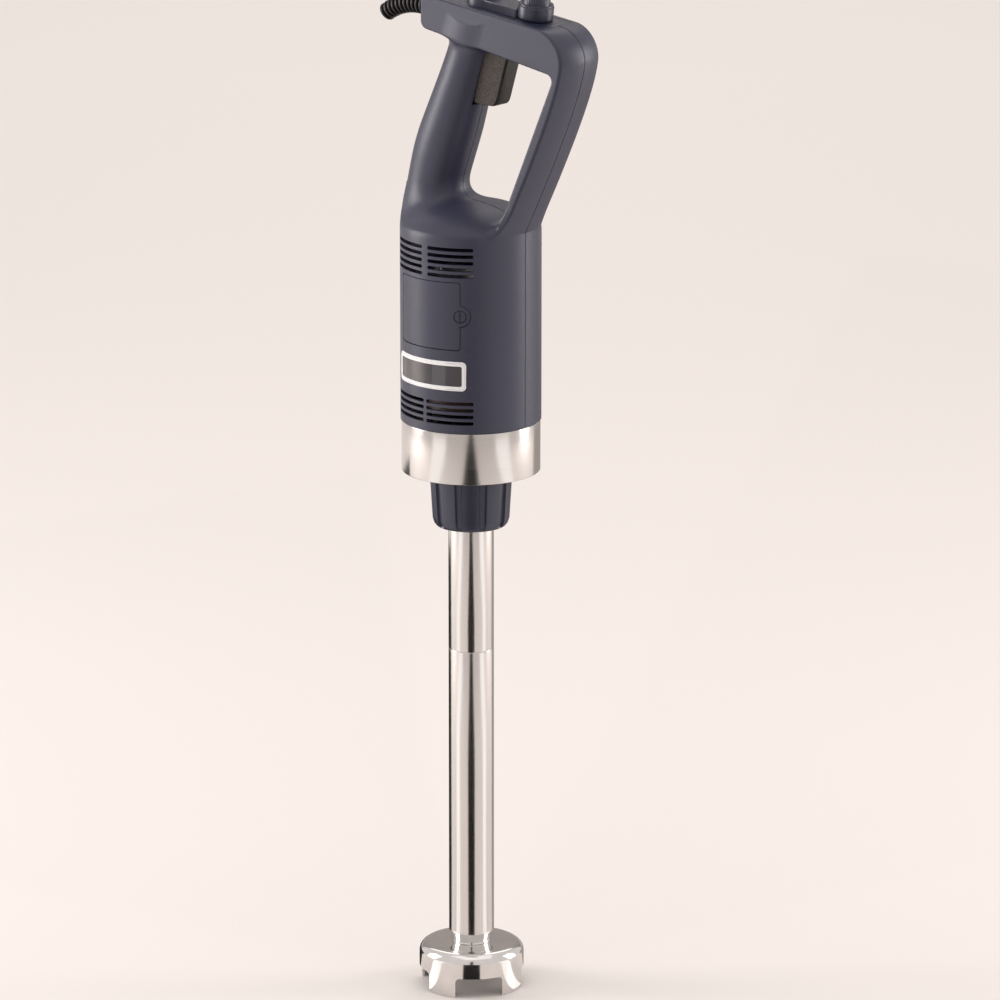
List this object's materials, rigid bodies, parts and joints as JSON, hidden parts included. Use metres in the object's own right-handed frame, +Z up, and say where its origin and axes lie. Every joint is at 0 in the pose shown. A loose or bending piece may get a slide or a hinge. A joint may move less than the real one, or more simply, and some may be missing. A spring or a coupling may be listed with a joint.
{
  "type": "immersion blender",
  "caption": "Tall commercial hand blender: D-loop handle with trigger, round motor housing, ribbed coupling nut, steel tube and slotted bell over a cutter.",
  "frame": {"origin": "centre of the bell's rim, on the surface that the blender stands on", "axes": "+Z up the tube's axis to the handle, +X towards the outer strut of the handle, -Y towards the side with the badge"},
  "size_m": [0.2266, 0.1236, 0.9044],
  "materials": {
    "body_plastic": "satin spark-textured moulding",
    "dark_plastic": "fine-textured moulding",
    "black_plastic": "plain moulding",
    "trigger_rubber": "coarse-textured soft grip",
    "boot_rubber": "satin",
    "brushed_steel": "brushed along its length",
    "polished_steel": "polished",
    "machined_steel": "turned",
    "blade_steel": "ground",
    "cast_aluminium": "as cast",
    "chrome_trim": "bright",
    "dark_lens": "glossy, blank",
    "copper_winding": "enamelled wire",
    "bronze": "sintered",
    "core_iron": "stacked sheets",
    "carbon": "pressed graphite",
    "bush_plastic": "plain moulding",
    "board": "laminate"
  },
  "bodies": {
    "motor_unit": {"motor_base": "cast_aluminium", "base_screws": "machined_steel", "lower_bearing": "machined_steel", "steel_band": "brushed_steel", "stator_core": "core_iron", "stator_windings": "copper_winding", "stator_bolts": "machined_steel", "end_bracket": "cast_aluminium", "upper_bearing": "machined_steel", "brush_holders": "black_plastic", "carbon_brushes": "carbon", "brush_springs": "machined_steel", "right_shell": "body_plastic", "left_shell": "body_plastic", "shell_screws": "machined_steel", "right_brush_cover": "body_plastic", "left_brush_cover": "body_plastic", "cover_caps": "body_plastic", "badge_bezel": "chrome_trim", "badge_lens": "dark_lens", "control_plate": "dark_plastic", "button_bezel": "dark_plastic", "control_board": "board", "speed_potentiometer": "black_plastic", "button_switch": "black_plastic", "trigger_pin": "machined_steel", "trigger_switch": "black_plastic", "cable_boot": "boot_rubber", "cable_clamp": "black_plastic"},
    "armature": {"motor_shaft": "machined_steel", "armature_core": "core_iron", "armature_windings": "copper_winding", "commutator": "copper_winding", "cooling_fan": "black_plastic", "drive_dog": "machined_steel"},
    "dial": {"speed_dial": "dark_plastic", "dial_spindle": "machined_steel"},
    "button": {"round_button": "black_plastic", "button_spring": "machined_steel"},
    "trigger_lever": {"trigger": "trigger_rubber", "trigger_spring": "machined_steel"},
    "shaft_arm": {"bell": "polished_steel", "bell_collar": "brushed_steel", "shaft_seal": "boot_rubber", "lower_bush": "bronze", "lower_tube": "brushed_steel", "upper_tube": "brushed_steel", "tube_sleeve": "machined_steel", "steady_bush": "bush_plastic", "tube_flange": "machined_steel", "arm_bearing": "machined_steel"},
    "lock_nut": {"coupling_nut": "dark_plastic"},
    "drive_line": {"drive_shaft": "machined_steel", "shaft_dog": "machined_steel", "blade_hub": "machined_steel", "blade": "blade_steel", "blade_nut": "machined_steel"}
  },
  "joints": [
    {"name": "motor_spin", "type": "hinge", "parent": "motor_unit", "child": "armature", "pos_m": [0, 0, 0.57], "axis": [0, 0, 1], "continuous": true},
    {"name": "dial_turn", "type": "hinge", "parent": "motor_unit", "child": "dial", "pos_m": [0.07196, 0, 0.88216], "axis": [0.1219, 0, 0.9925], "range_deg": [0, 270]},
    {"name": "button_press", "type": "slide", "parent": "motor_unit", "child": "button", "axis": [-0.1219, 0, -0.9925], "range_m": [0, 0.0025], "stiffness_N_per_m": 600, "springref_m": -0.001, "deforming": ["button_spring"]},
    {"name": "trigger_pull", "type": "hinge", "parent": "motor_unit", "child": "trigger_lever", "pos_m": [0.02239, 0, 0.864], "axis": [0, 1, 0], "range_deg": [0, 5], "stiffness_Nm_per_rad": 2, "springref_deg": -5.73, "deforming": ["trigger_spring"]},
    {"name": "arm_release", "type": "slide", "parent": "motor_unit", "child": "shaft_arm", "axis": [0, 0, -1], "range_m": [0, 0.06]},
    {"name": "nut_turn", "type": "hinge", "parent": "shaft_arm", "child": "lock_nut", "pos_m": [0, 0, 0.448], "axis": [0, 0, 1], "range_deg": [0, 90]},
    {"name": "blade_spin", "type": "hinge", "parent": "shaft_arm", "child": "drive_line", "pos_m": [0, 0, 0.02], "axis": [0, 0, 1], "continuous": true}
  ],
  "couplings": [
    {"joint": "blade_spin", "follows": "motor_spin", "ratio": 1}
  ]
}
